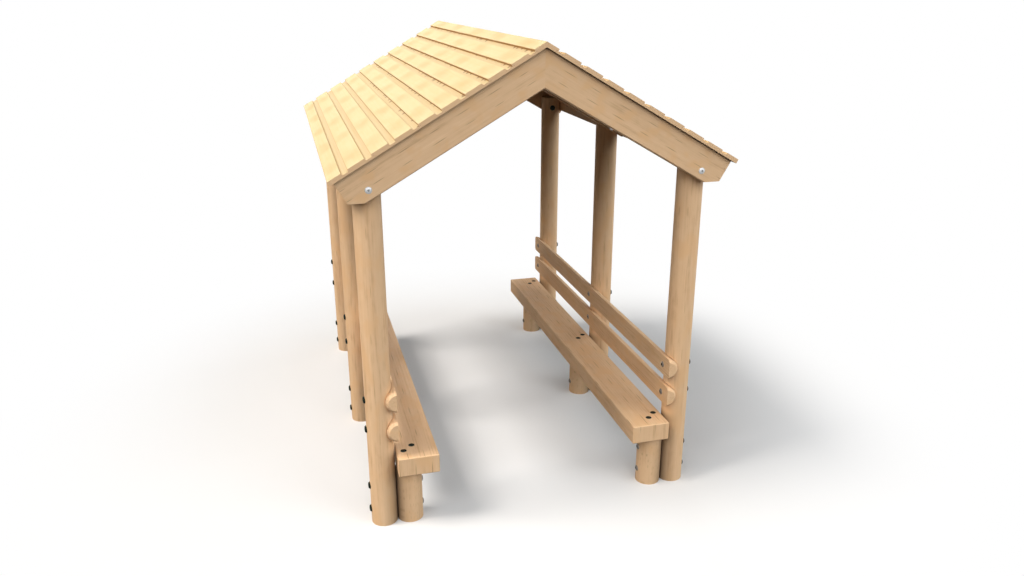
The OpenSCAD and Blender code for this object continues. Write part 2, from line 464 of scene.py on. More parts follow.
    @cached_property
    def painted_contact_shade(self) -> Tree:
        """Painted shade along the line where a bench leg stands against its post.

        The mask falls with the distance from the line where the two rounds meet, at |X| = Line and at each
        whole Pitch of Y, and ends about the seat's top. Position is in the shelter's own axes.

        Returns:
            The group, which gives the mask.
        """
        sheet = GroupSheet("painted_shade_line", ("Position", "Line", "Pitch", "Reach", "Top"), ("Mask",))
        given = sheet.given
        x, y, z = sheet.split(given["Position"])
        count = sheet.math("ROUND", sheet.over(y, given["Pitch"]))
        row = sheet.times(count, given["Pitch"])
        off_x = sheet.minus(sheet.math("ABSOLUTE", x), given["Line"])
        away = sheet.over(sheet.length(off_x, sheet.minus(y, row)), given["Reach"])
        near = sheet.math("MAXIMUM", sheet.minus(1.0, away), 0.0)
        low = sheet.remap(sheet.minus(z, given["Top"]), *self.CONTACT_FADE)
        return sheet.give(mask=sheet.times(sheet.math("POWER", near, self.CONTACT_POWER), low))

    @cached_property
    def boards(self) -> Tree:
        """What a roof board's shape does to its colour: painted shade in the cove, at the lower edge and on
        the underside, the ends, the blotches, and ticks of painted shadow.

        Position runs along the board, down the slope and out through the roof, from the ridge line of the
        boards' undersides. The cove and the underside lie lower than the top face, and the ends lie at half
        the length. The blotches are soft ovals one pitch apart along each face, read through noise that bends
        them. A tick is a small wedge of painted shadow that runs down from the edge of the board above, as
        wide as it has length left.

        Returns:
            The group, which gives a mask for each.
        """
        names = (
            "Position", "Shift", "Thickness", "Half Length", "Upper Edge", "Lower Edge", "First Blotch",
            "Blotch Pitch", "Tick Share",
        )
        sheet = GroupSheet("board_marks", names, ("Cove", "Edge", "Under", "End", "Blotch", "Tick"))
        given, spot = sheet.given, self.shifted(sheet)
        along, down, through = sheet.split(given["Position"])
        depth = sheet.minus(given["Thickness"], through)
        step = sheet.times(sheet.remap(depth, *self.STEP_TOP), sheet.remap(depth, *self.STEP_FOOT))
        lower = sheet.remap(sheet.minus(given["Lower Edge"], down), *self.LOWER)
        inside = sheet.minus(given["Half Length"], sheet.math("ABSOLUTE", along))
        bend = sheet.split(sheet.noise(sheet.stretch(spot, self.BEND_CELLS), colour=True))
        bent_along = sheet.weighted(along, [(bend[0], self.BEND_ALONG, 0.5)])
        bent_down = sheet.weighted(down, [(bend[1], self.BEND_DOWN, 0.5)])
        turn = sheet.over(sheet.minus(bent_along, given["First Blotch"]), given["Blotch Pitch"])
        part = sheet.minus(turn, sheet.math("ROUND", turn))
        below = sheet.minus(sheet.minus(given["Lower Edge"], self.BLOTCH_UP), bent_down)
        oval = sheet.length(sheet.over(part, self.BLOTCH_TURNS), sheet.over(below, self.BLOTCH_HALF))
        strength = sheet.noise(sheet.stretch(spot, self.STRENGTH_CELLS))
        strength = sheet.remap(strength, *self.STRENGTH_RANGE, self.STRENGTH)
        feeds = {"W": sheet.split(spot)[0], "Scale": self.TICK_CELLS}
        nearest = sheet.add("ShaderNodeTexVoronoi", feeds, voronoi_dimensions="1D", feature="F1").outputs
        chance, long, _ = sheet.split(nearest["Color"])
        length = sheet.between(long, self.TICK_LENGTH)
        fall = sheet.over(sheet.minus(down, given["Upper Edge"]), length)
        half = sheet.between(fall, self.TICK_HALF)
        wedge = sheet.remap(sheet.minus(nearest["Distance"], half), *self.TICK_EDGE)
        patch = sheet.noise(sheet.stretch(spot, self.PATCH_CELLS), detail=0.0)
        loose = sheet.math("MULTIPLY_ADD", chance, self.PATCH_LOOSE, patch)
        kept = sheet.times(wedge, sheet.math("LESS_THAN", loose, given["Tick Share"]))
        # The cove, edge and under masks carry painted shade, and the tick mask painted shadow
        return sheet.give(
            cove=sheet.remap(depth, *self.COVE),
            edge=sheet.math("MAXIMUM", lower, sheet.times(step, self.STEP_SHARE)),
            under=sheet.remap(through, *self.UNDER),
            end=sheet.remap(inside, *self.END),
            blotch=sheet.times(sheet.remap(oval, *self.BLOTCH_EDGE), strength),
            tick=sheet.times(kept, sheet.remap(fall, *self.TICK_TIP)),
        )


@dataclass(frozen=True)
class TimberFinish:
    """One timber finish, from its palest to its deepest tone."""

    name: str
    pale: Colour
    middle: Colour
    deep: Colour
    warm: Colour
    ring_spacing: float
    rings: float
    streaks: float
    bands: float
    blotch_length: float
    mottle: float = 0.20
    end_rings: float = 0.12
    dash: Colour = (0.40, 0.250, 0.135)
    dash_pitch: float = 0.150
    dash_row: float = 0.051
    dash_length: float = 0.062
    dash_width: float = 0.0044
    dash_scatter: float = 0.10
    dash_share: float = 0.0
    upright_ends: bool = False
    end_band: Span = (0.0005, 0.0025)
    end_dash_stretch: float = 1.2
    # The painted shade where a bench leg stands against its post: its colour, the line's X, the rows' pitch,
    # its reach and its top
    painted_contact_shade: Colour = (0.035, 0.020, 0.012)
    painted_shade_line: float = 0.0
    painted_shade_pitch: float = 1.080
    painted_shade_reach: float = 0.096
    painted_shade_top: float = 0.365
    tone_steps: Point = (0.15, 0.5, 0.85)
    warm_share: float = 0.8
    specular: float = 0.28
    roughness_tones: Span = (0.2, 0.8)
    roughness: Span = (0.74, 0.60)
    bump: float = 0.30
    bump_depth: float = 0.0010

    def start(
        self, patterns: TimberPatterns, node: str, grain: Grain
    ) -> tuple[MaterialSheet, Socket, Socket, Socket]:
        """Starts a material with its grain frame, grain colour and bump.

        Args:
            patterns: The shared node groups.
            node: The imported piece's name.
            grain: How its grain lies.

        Returns:
            The material's sheet, the position in the grain's own axes, a mask that is 0 on the two end faces
            and 1 between them, and the grain's colour.
        """
        sheet = MaterialSheet(f"{self.name}_{node}")
        feeds = {"Vector": sheet.here(), "Location": grain.pith, "Rotation": grain.run.turn}
        position = sheet.add("ShaderNodeMapping", feeds, vector_type="TEXTURE").outputs["Vector"]
        along, across, through = sheet.split(position)
        low, high = grain.reach(node)
        inside = sheet.math("MINIMUM", sheet.minus(along, low), sheet.minus(high, along))
        between = sheet.remap(inside, *self.end_band)
        lie = position
        if self.upright_ends:
            lie = sheet.either(between, sheet.join(across, along, through), position)
        layers = sheet.place(
            patterns.grain, position=lie, shift=grain.shift, ring_spacing=self.ring_spacing,
            rings=sheet.between(between, (self.end_rings, self.rings)), streaks=self.streaks,
            bands=self.bands, mottle=self.mottle, blotch_length=self.blotch_length,
        )
        tone, (first, second, last) = layers["Tone"], self.tone_steps
        sheet.shade({
            "Specular IOR Level": self.specular,
            "Roughness": sheet.remap(tone, *self.roughness_tones, self.roughness),
            "Normal": sheet.bump(layers["Height"], self.bump, self.bump_depth),
        })
        colour = sheet.tint(sheet.remap(tone, first, second), self.deep, self.middle)
        colour = sheet.tint(sheet.remap(tone, second, last), colour, self.pale)
        colour = sheet.tint(sheet.times(layers["Blotch"], self.warm_share), colour, self.warm)
        return sheet, position, between, colour

    def material(self, patterns: TimberPatterns, node: str, grain: Grain) -> Material:
        """The finished material of one piece.

        Args:
            patterns: The shared node groups.
            node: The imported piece's name.
            grain: How its grain lies.

        Returns:
            The material.
        """
        sheet, position, between, colour = self.start(patterns, node, grain)
        lattice = {
            "shift": float(round(grain.shift)), "pitch": self.dash_pitch, "row": self.dash_row,
            "width": self.dash_width, "scatter": self.dash_scatter,
        }
        if self.dash_share > 0.0:
            first = grain.place(grain.dash)
            dashes = sheet.place(
                patterns.dashes, position=position, first_along=first[0], first_rise=first[1] + first[2],
                length=self.dash_length, share=self.dash_share, **lattice,
            )
            colour = sheet.tint(sheet.times(dashes["Mask"], between), colour, self.dash)
        if self.upright_ends:
            first = grain.place(grain.end_dash)
            streaks = sheet.place(
                patterns.dashes, position=sheet.join(*sheet.split(position)[1:]), first_along=first[1],
                first_rise=first[2], length=self.end_dash_stretch * self.dash_length, share=1.0, **lattice,
            )
            ends = sheet.minus(1.0, between)
            colour = sheet.tint(sheet.times(streaks["Mask"], ends), colour, self.dash)
        # Painted shade in the crevice where a bench leg stands against its post
        if self.painted_shade_line > 0.0:
            painted_contact_shade = sheet.place(
                patterns.painted_contact_shade, position=sheet.here(), line=self.painted_shade_line, pitch=self.painted_shade_pitch,
                reach=self.painted_shade_reach, top=self.painted_shade_top,
            )
            colour = sheet.tint(painted_contact_shade["Mask"], colour, self.painted_contact_shade)
        return sheet.shade({"Base Color": colour})


@dataclass(frozen=True)
class BoardFinish(TimberFinish):
    """The roof boards' finish: pale faces with soft blotches, sawn ends, painted shade in the coves, at the
    lower edges and on the undersides, and ticks of painted shadow.
    """

    # Painted shade: the colours of the cove, the lower edge and the underside, darker than the board's timber
    cove: Colour = (0.605, 0.455, 0.232)
    edge: Colour = (0.520, 0.300, 0.125)
    under: Colour = (0.110, 0.080, 0.052)
    end: Colour = (0.720, 0.475, 0.270)
    blotch: Colour = (0.612, 0.440, 0.200)
    # The colour of the ticks, painted shadow cast from the edge of the board above
    tick: Colour = (0.30, 0.18, 0.08)
    thickness: float = 0.020
    half_length: float = 1.2185
    first_blotch: float = -1.0235
    blotch_pitch: float = 0.495

    def board_material(
        self, patterns: TimberPatterns, node: str, grain: Grain, edges: Span, tick_share: float
    ) -> Material:
        """The finished material of one board.

        Args:
            patterns: The shared node groups.
            node: The board's name.
            grain: How its grain lies, with the pith on the ridge line of the boards' undersides.
            edges: Where the board above ends and where this one ends, down the slope from the ridge line.
            tick_share: How much of the upper one has ticks of painted shadow under it.

        Returns:
            The material.
        """
        sheet, position, _, colour = self.start(patterns, node, grain)
        marks = sheet.place(
            patterns.boards, position=position, shift=grain.shift, thickness=self.thickness,
            half_length=self.half_length, upper_edge=edges[0], lower_edge=edges[1],
            first_blotch=self.first_blotch, blotch_pitch=self.blotch_pitch, tick_share=tick_share,
        )
        # The cove, edge and under colours lay painted shade over the grain, and the tick colour painted shadow
        for name in ("blotch", "cove", "tick", "edge", "under", "end"):
            colour = sheet.tint(marks[name.title()], colour, getattr(self, name))
        return sheet.shade({"Base Color": colour})


@dataclass(frozen=True)
class FittingFinish:
    """The finish of a small fitting, metal or plastic, with fine wear, and painted shade in its recess."""

    name: str
    fresh: Colour
    worn: Colour
    # The colour of the painted shade in the key recess
    painted_recess_shade: Colour
    metallic: float
    specular: float
    roughness: Span
    wear_size: float
    bump: float
    wear_range: Span = (0.38, 0.66)
    fine_times: float = 7.0
    fine_range: Span = (0.3, 0.7)
    bump_depth: float = 0.0004

    def material(self) -> Material:
        """Makes the finished material.

        Returns:
            The material.
        """
        sheet = MaterialSheet(self.name)
        place, cells = sheet.here(), 1.0 / self.wear_size
        wear = sheet.noise(sheet.stretch(place, (cells,) * 3), detail=3.0)
        fine = sheet.noise(sheet.stretch(place, (cells * self.fine_times,) * 3), detail=2.0)
        colour = sheet.tint(sheet.remap(wear, *self.wear_range), self.fresh, self.worn)
        # Painted shade in the key recess, read from the mark that the mesh carries there
        painted_recess_shade = sheet.add("ShaderNodeAttribute", attribute_name="painted_recess_shade").outputs["Fac"]
        return sheet.shade({
            "Base Color": sheet.tint(painted_recess_shade, colour, self.painted_recess_shade),
            "Metallic": self.metallic,
            "Specular IOR Level": self.specular,
            "Roughness": sheet.remap(fine, *self.fine_range, self.roughness),
            "Normal": sheet.bump(fine, self.bump, self.bump_depth),
        })


POST_TIMBER = TimberFinish(
    "post_timber", pale=(0.790, 0.532, 0.315), middle=(0.740, 0.487, 0.280), deep=(0.605, 0.372, 0.200),
    warm=(0.745, 0.463, 0.243), ring_spacing=0.012, rings=0.16, streaks=0.52, bands=0.45, blotch_length=0.13,
    mottle=0.40, dash=(0.56, 0.345, 0.178), dash_pitch=0.245, dash_row=0.200, dash_length=0.080,
    dash_width=0.0036, dash_share=0.9, painted_shade_line=0.6913,
)
SEAT_TIMBER = replace(
    POST_TIMBER, name="seat_timber", ring_spacing=0.015, bands=0.40, blotch_length=0.12,
    dash=(0.41, 0.245, 0.124), dash_pitch=0.232, dash_row=0.078, dash_length=0.120, dash_width=0.0054,
    dash_share=1.0, upright_ends=True, painted_shade_line=0.0,
)
LEG_TIMBER = replace(
    POST_TIMBER, name="leg_timber", rings=0.03, streaks=0.34, bands=0.25, mottle=0.50,
    dash=(0.60, 0.385, 0.208), dash_pitch=0.043, dash_row=0.015, dash_length=0.026, dash_width=0.0034,
    dash_scatter=0.65,
)
RAIL_TIMBER = replace(
    POST_TIMBER, name="rail_timber", rings=0.14, bands=0.40, end_rings=0.05, dash_share=0.0, painted_shade_line=0.0
)
RAFTER_TIMBER = TimberFinish(
    "rafter_timber", pale=(0.780, 0.530, 0.315), middle=(0.725, 0.478, 0.275), deep=(0.585, 0.368, 0.202),
    warm=(0.725, 0.448, 0.232), ring_spacing=0.018, rings=0.10, streaks=0.50, bands=0.32, blotch_length=0.075,
    mottle=0.42, dash_length=0.074, dash_share=1.0,
)
ROOF_TIMBER = BoardFinish(
    "roof_timber", pale=(0.645, 0.555, 0.297), middle=(0.640, 0.534, 0.276), deep=(0.620, 0.488, 0.236),
    warm=(0.632, 0.510, 0.250), ring_spacing=0.010, rings=0.06, streaks=0.40, bands=0.25, blotch_length=0.16,
    mottle=0.15, bump=0.22,
)
RAFTER_STEEL = FittingFinish(
    "bright_steel", fresh=(0.48, 0.485, 0.49), worn=(0.38, 0.385, 0.39), painted_recess_shade=(0.22, 0.22, 0.22),
    metallic=1.0, specular=0.5, roughness=(0.52, 0.66), wear_size=0.004, bump=0.08,
)
# A darker copy of the rafter steel: painted shade for the bolt heads on the benches' inner faces
SHADED_BENCH_STEEL = replace(
    RAFTER_STEEL, name="shaded_steel", fresh=(0.25, 0.22, 0.19), worn=(0.15, 0.13, 0.11),
    painted_recess_shade=(0.020, 0.018, 0.016), roughness=(0.50, 0.66),
)
CAP_PLASTIC = FittingFinish(
    "cap_plastic", fresh=(0.0070, 0.0110, 0.0068), worn=(0.012, 0.0175, 0.0115), painted_recess_shade=(0.006, 0.007, 0.006),
    metallic=0.0, specular=0.10, roughness=(0.62, 0.74), wear_size=0.006, bump=0.12,
)


def ring_points(radius: np.ndarray, height: np.ndarray) -> np.ndarray:
    """Points on level rings, in even steps of the angle a: (r cos a, r sin a, h).

    Args:
        radius: Each point's radius r, a row for each ring.
        height: Each ring's height h.

    Returns:
        The points, ring by ring.
    """
    angle = np.linspace(0.0, 2.0 * np.pi, radius.shape[1], endpoint=False)
    parts = np.broadcast_arrays(radius * np.cos(angle), radius * np.sin(angle), height[:, None])
    return np.stack(parts, axis=-1).reshape(-1, 3)


def ring_faces(rings: np.ndarray, pole: int) -> list[list[int]]:
    """The quads between rings of points, and the fan that closes the first ring.

    Args:
        rings: The points' numbers, a row for each ring.
        pole: The number of the fan's middle point.

    Returns:
        The faces.
    """
    after = np.roll(rings, -1, axis=1)
    quads = np.stack((rings[:-1], rings[1:], after[1:], after[:-1]), axis=-1).reshape(-1, 4)
    fan = np.stack((np.full_like(rings[0], pole), rings[0], after[0]), axis=-1)
    return [*quads.tolist(), *fan.tolist()]


@dataclass(frozen=True)
class TurnedForm:
    """A fitting turned round its own axis, with a hexagon key recess in its face where it has one.

    The outline's stations are radii and heights in millimetres, from the pole of the outer face over the rim
    to the pole of the inner face. The first key_stations after the pole are hexagons. Each copy is turned on
    from the one before.
    """

    outline: tuple[Span, ...]
    key_stations: int = 0
    segments: int = 48
    copy_turn: float = 0.61
    sharp_angle: float = math.radians(40.0)
    upright: float = 0.9

    def skin(self) -> tuple[np.ndarray, list[list[int]]]:
        """The closed skin of one fitting.

        On a hexagon station r stands for the distance to the flats, and at the angle a the radius is
        r / cos((a mod 60 degrees) - 30 degrees).

        Returns:
            The points in metres, the two poles first, and the faces, which look outwards.
        """
        outline = np.array(self.outline) * MM
        angle = np.linspace(0.0, 2.0 * np.pi, self.segments, endpoint=False)
        rings = outline[1:-1]
        radius = np.repeat(rings[:, :1], self.segments, axis=1)
        radius[: self.key_stations] *= 1.0 / np.cos(np.mod(angle, np.pi / 3.0) - np.pi / 6.0)
        poles = np.array([[0.0, 0.0, outline[0, 1]], [0.0, 0.0, outline[-1, 1]]])
        index = 2 + np.arange(radius.size).reshape(radius.shape)
        inner = np.stack((np.ones_like(index[-1]), np.roll(index[-1], -1), index[-1]), axis=-1)
        points = np.concatenate((poles, ring_points(radius, rings[:, 1])))
        return points, [*ring_faces(index, pole=0), *inner.tolist()]

    def piece(self, name: str, spots: Sequence[Spot], material: Material, slot: str) -> None:
        """Makes one piece, riding on the shelter's body, that holds a copy of the form at each spot.

        Args:
            name: The piece's name.
            spots: Each copy's seat and the way that it faces.
            material: The piece's material.
            slot: Not used.
        """
        points, faces = self.skin()
        # The key recess's points are marked for painted shade
        painted_recess_shade = np.zeros(len(points), dtype=np.float32)
        if self.key_stations:
            painted_recess_shade[[0, *range(2, 2 + (self.key_stations - 1) * self.segments)]] = 1.0
        seats, facing = (np.array(part, dtype=float) for part in zip(*spots))
        helper = np.where(np.abs(facing[:, 2:]) > self.upright, (1.0, 0.0, 0.0), (0.0, 0.0, 1.0))
        first = np.cross(helper, facing)
        second = np.cross(facing, first)
        turn = (np.arange(len(spots)) * self.copy_turn)[:, None]
        axis_u = first * np.cos(turn) + second * np.sin(turn)
        axis_v = second * np.cos(turn) - first * np.sin(turn)
        axes = np.stack((axis_u, axis_v, facing), axis=1)
        copies = seats[:, None] + np.einsum("pk,ckx->cpx", points, axes)
        starts = range(0, len(spots) * len(points), len(points))
        mesh = bpy.data.meshes.new(name)
        every = [[start + corner for corner in face] for start in starts for face in faces]
        mesh.from_pydata(copies.reshape(-1, 3).tolist(), [], every)
        mesh.polygons.foreach_set("use_smooth", np.ones(len(mesh.polygons), dtype=bool))
        mesh.set_sharp_from_angle(angle=self.sharp_angle)
        mesh.attributes.new("painted_recess_shade", "FLOAT", "POINT").data.foreach_set("value", np.tile(painted_recess_shade, len(spots)))
        mesh.materials.append(material)
        piece = bpy.data.objects.new(name, mesh)
        bpy.context.scene.collection.objects.link(piece)
        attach(piece, BODY)
        LOG.info("%s: %d fittings", name, len(spots))


def arc(centre: Span, radius: float, start: float, stop: float, count: int) -> tuple[Span, ...]:
    """Stations on a round edge, between two angles in degrees: centre + radius x (cos a, sin a)."""
    angles = np.radians(np.linspace(start, stop, count)).tolist()
    return tuple((centre[0] + radius * math.cos(a), centre[1] + radius * math.sin(a)) for a in angles)


def domed_head(rise: float, key: float, depth: float) -> TurnedForm:
    """A domed bolt head, 30 mm wide, with a hexagon key recess.

    Over the half width a and the rise h the dome is an arc of radius (a x a + h x h) / (2 h).

    Args:
        rise: How far the dome stands over its rim, in millimetres.
        key: Half the recess's width across its flats.
        depth: The recess's depth.

    Returns:
        The head.
    """
    half, rim, tang = 14.2, 1.4, -3.0
    chamfer, chamfer_drop, corner_reach, land = 0.4, 0.3, 1.16, 0.6
    dome = (half**2 + rise**2) / (2.0 * rise)
    mouth = corner_reach * key + land
    angles = (math.degrees(math.acos(reach / dome)) for reach in (mouth, half))
    face = arc((0.0, rim + rise - dome), dome, *angles, count=9)
    lip = face[0][1]
    edge = arc((half - 0.2, rim - 0.8), radius=1.0, start=55.0, stop=-10.0, count=4)
    floor = lip - depth
    recess = ((0.0, floor), (key, floor), (key, lip - chamfer_drop), (key + chamfer, lip + 0.05))
    return TurnedForm(outline=(*recess, *face, *edge, (half + 0.8, tang), (0.0, tang)), key_stations=3)


RAFTER_HEAD = domed_head(rise=5.0, key=4.2, depth=2.6)
BENCH_HEAD = domed_head(rise=5.4, key=6.4, depth=4.6)
NUT_CAP = TurnedForm(
    outline=(
        (0.0, 8.8), (4.5, 8.6), (8.5, 7.9), *arc((10.6, 2.9), 4.9, 82.0, 4.0, 8), (16.2, 2.5),
        *arc((16.7, 1.6), 0.8, 70.0, -10.0, 4), (17.5, -3.2), (0.0, -3.2),
    ),
)
SEAT_PLUG = TurnedForm(
    outline=(
        (0.0, -1.7), (7.0, -1.6), (11.5, -1.2), *arc((13.9, -1.3), 1.1, 130.0, 5.0, 7), (15.2, -3.0),
        (15.2, -19.4), (0.0, -19.4),
    ),
)


def dress(name: str, material: Material) -> None:
    """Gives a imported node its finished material.

    Args:
        name: The node's name.
        material: The material.
    """
    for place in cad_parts[name].material_slots:
        place.material = material
    LOG.info("%s: %s", name, material.name)


def middle_of(node: str) -> Vector:
    """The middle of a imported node's box."""
    low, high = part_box(node)
    return (low + high) / 2.0


def ridge_height() -> float:
    """The height of the ridge line of the boards' undersides."""
    return CAD_BOX[1].z - ROOF_TIMBER.thickness / math.cos(ROOF_PITCH)


@dataclass
class Posts:
    """The six round posts."""

    patterns: TimberPatterns
    pith_drift: float = 0.012
    pith_turn: float = 2.1
    dash: Point = (-0.030, -0.055, 1.200)
    shift: float = 3.7
    shift_step: float = 1.9

    def dress(self) -> None:
        """Gives each post upright grain round a pith a little off its middle."""
        for count, (row, side) in enumerate(product(Row, Side)):
            name = f"{row.value}_{side.value}_post"
            x, y, _ = middle_of(name)
            angle = self.pith_turn * count
            pith = (x + self.pith_drift * math.cos(angle), y + self.pith_drift * math.sin(angle), 0.0)
            dash = (x + self.dash[0], y + self.dash[1], self.dash[2])
            grain = Grain(GrainRun.UPRIGHT, pith, self.shift + self.shift_step * count, dash)
            dress(name, POST_TIMBER.material(self.patterns, name, grain))


@dataclass
class Bench:
    """One side's bench: three legs, the seat beam, two back rails, and their bolts, caps and plugs.

    A pith's place is in X and Z from the middle of its piece, and the rails' is inward. The dashes on the
    seat start at their side's place along it, and those on its ends at their side's depth under its top.
    """

    side: Side
    patterns: TimberPatterns
    # The bench's steel is the shaded copy, painted darker for the heads inside the bench
    steel: Material
    plastic: Material
    leg_bolt_heights: Span = (0.200, 0.073)
    plug_offset: float = 0.022
    seat_pith: Span = (0.24, -0.03)
    seat_shift: float = 2.3
    dash_out: float = 0.5665
    end_dash_out: float = 0.6065
    rail_pith: Span = (0.04, 0.01)
    rail_shift: float = 5.1
    rail_shift_step: float = 3.3
    shifts: ClassVar[dict[Side, float]] = {Side.LEFT: 17.0, Side.RIGHT: 29.0}
    seat_dashes: ClassVar[dict[Side, Span]] = {Side.LEFT: (-0.944, 0.080), Side.RIGHT: (-0.900, 0.010)}

    def node(self, name: str) -> str:
        """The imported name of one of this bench's pieces."""
        return f"{self.side.value}_{name}"

    def dress(self) -> None:
        """Gives the legs, the seat and the rails their timber."""
        shift, out = self.shifts[self.side], self.side.sign
        legs, seat = self.node("bench_legs"), self.node("seat")
        grain = Grain(GrainRun.UPRIGHT, (middle_of(legs).x, 0.0, 0.0), shift)
        dress(legs, LEG_TIMBER.material(self.patterns, legs, grain))
        spot, top = middle_of(seat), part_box(seat)[1].z
        start, fall = self.seat_dashes[self.side]
        grain = Grain(
            GrainRun.LENGTHWISE, (spot.x + self.seat_pith[0], 0.0, spot.z + self.seat_pith[1]),
            shift + self.seat_shift, dash=(out * self.dash_out, start, top),
            end_dash=(out * self.end_dash_out, 0.0, top - fall),
        )
        dress(seat, SEAT_TIMBER.material(self.patterns, seat, grain))
        for count, level in enumerate(("lower", "upper")):
            rail = self.node(f"{level}_rail")
            spot = middle_of(rail)
            pith = (spot.x - self.rail_pith[0] * out, 0.0, spot.z + self.rail_pith[1])
            grain = Grain(GrainRun.LENGTHWISE, pith, shift + self.rail_shift + self.rail_shift_step * count)
            dress(rail, RAIL_TIMBER.material(self.patterns, rail, grain))

    def add_fittings(self) -> None:
        """Puts a bolt through each rail and each leg into its post, and the plugs into the seat."""
        inward, outward = (-self.side.sign, 0.0, 0.0), (self.side.sign, 0.0, 0.0)
        near, far = (1, 0) if self.side is Side.LEFT else (0, 1)
        legs = self.node("bench_legs")
        leg_x, leg_face, seat_top = middle_of(legs).x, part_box(legs)[near].x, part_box(self.node("seat"))[1].z
        rails = [self.node(f"{level}_rail") for level in ("lower", "upper")]
        bolts = [(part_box(rail)[near].x, middle_of(rail).z) for rail in rails]
        bolts += [(leg_face, level) for level in self.leg_bolt_heights]
        heads: list[Spot] = []
        caps: list[Spot] = []
        plugs: list[Spot] = []
        for row in Row:
            post = f"{row.value}_{self.side.value}_post"
            y, outer_x = middle_of(post).y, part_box(post)[far].x
            heads += [((face, y, level), inward) for face, level in bolts]
            caps += [((outer_x, y, level), outward) for _, level in bolts]
            for step in (self.plug_offset, -self.plug_offset):
                plugs.append(((leg_x + step, y + step, seat_top), (0.0, 0.0, 1.0)))
        BENCH_HEAD.piece(self.node("bench_bolt_heads"), heads, self.steel, "bolt_steel")
        NUT_CAP.piece(self.node("bench_nut_caps"), caps, self.plastic, "cap_plastic")
        SEAT_PLUG.piece(self.node("seat_plugs"), plugs, self.plastic, "cap_plastic")


@dataclass
class Rafters:
    """The three rafter pairs and the eaves plates, with the bolts that hold the rafters to the posts.

    A pith's place is from the middle of its piece, in Y and Z for a rafter and in X and Z for a plate.
    """

    patterns: TimberPatterns
    steel: Material
    plastic: Material
    bolt_height: float = 1.662
    bolt_insets: Span = (0.0, 0.004)
    middle_bolt_height: float = 1.692
    dash_down: float = 0.135
    dash_inward: float = 0.046
    pith: Span = (0.07, -0.05)
    shift: float = 41.0
    shift_step: float = 2.7
    plate_pith: Span = (0.03, -0.04)
    plate_shift: float = 61.0
    plate_shift_step: float = 4.1

    def dash(self, side: Side, face: float) -> Point:
        """The place of one dark dash, down the slope from the ridge and in from the rafter's upper edge.

        Args:
            side: The rafter's side.
            face: The Y of the face that it lies on.

        Returns:
            The point, mirrored on the left: (d cos p - e sin p, face, ridge - d sin p - e cos p).
        """
        c, s = math.cos(ROOF_PITCH), math.sin(ROOF_PITCH)
        down, inward = self.dash_down, self.dash_inward
        return (side.sign * (down * c - inward * s), face, ridge_height() - down * s - inward * c)

    def dress(self) -> None:
        """Gives the rafters grain up the slope, and the plates grain along the eaves."""
        for count, (row, side) in enumerate(product(Row, Side)):
            name = f"{row.value}_{side.value}_rafter"
            x, y, z = middle_of(name)
            run = GrainRun.LEFT_RAFTER if side is Side.LEFT else GrainRun.RIGHT_RAFTER
            pith, shift = (x, y + self.pith[0], z + self.pith[1]), self.shift + self.shift_step * count
            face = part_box(name)[1 if row is Row.BACK else 0].y
            grain = Grain(run, pith, shift, self.dash(side, face))
            dress(name, RAFTER_TIMBER.material(self.patterns, name, grain))
        for count, side in enumerate(Side):
            name = f"{side.value}_eaves_plate"
            x, _, z = middle_of(name)
            pith = (x + self.plate_pith[0], 0.0, z + self.plate_pith[1])
            grain = Grain(GrainRun.LENGTHWISE, pith, self.plate_shift + self.plate_shift_step * count)
            dress(name, RAFTER_TIMBER.material(self.patterns, name, grain))

    def add_fittings(self) -> None:
        """Puts a bolt through each rafter into its post, with a cap on the post's far side."""
        for row in Row:
            heads: list[Spot] = []
            caps: list[Spot] = []
            level = self.middle_bolt_height if row is Row.MIDDLE else self.bolt_height
            out = 1.0 if row is Row.BACK else -1.0
            far, near = (1, 0) if row is Row.BACK else (0, 1)
            for side, inset in zip(Side, self.bolt_insets):
                post = f"{row.value}_{side.value}_post"
                x = middle_of(post).x - side.sign * inset
                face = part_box(f"{row.value}_{side.value}_rafter")[far].y
                heads.append(((x, face, level), (0.0, out, 0.0)))
                caps.append(((x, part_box(post)[near].y, level), (0.0, -out, 0.0)))
            RAFTER_HEAD.piece(f"{row.value}_rafter_bolt_heads", heads, self.steel, "bolt_steel")
            NUT_CAP.piece(f"{row.value}_rafter_nut_caps", caps, self.plastic, "cap_plastic")


@dataclass
class ShiplapRoof:
    """The twenty shiplap boards, ten on each slope."""

    patterns: TimberPatterns
    # How much of each board has ticks of painted shadow under the edge of the board above
    tick_shares: tuple[float, ...] = (0.0, 0.62, 0.70, 0.66, 0.66, 0.58, 0.48, 0.0, 0.0, 0.0)
    shift: float = 83.0
    shift_step: float = 1.73
    right_shift: float = 31.0
    above_first: float = -1.0

    def lower_edge(self, node: str) -> float:
        """Where a board's top face ends, down the slope: (reach in X - thickness x sin pitch) / cos pitch."""
        reach = max(abs(corner.x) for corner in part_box(node))
        return (reach - ROOF_TIMBER.thickness * math.sin(ROOF_PITCH)) / math.cos(ROOF_PITCH)

    def dress(self) -> None:
        """Gives each board its own patch of the roof timber, measured from the ridge line."""
        for side, run, start in (
            (Side.LEFT, GrainRun.LEFT_BOARD, 0.0), (Side.RIGHT, GrainRun.RIGHT_BOARD, self.right_shift)
        ):
            above = self.above_first
            for count, share in enumerate(self.tick_shares, start=1):
                name = f"{side.value}_roof_board_{count}"
                grain = Grain(run, (0.0, 0.0, ridge_height()), self.shift + self.shift_step * count + start)
                edges = (above, self.lower_edge(name))
                dress(name, ROOF_TIMBER.board_material(self.patterns, name, grain, edges, share))
                above = edges[1]


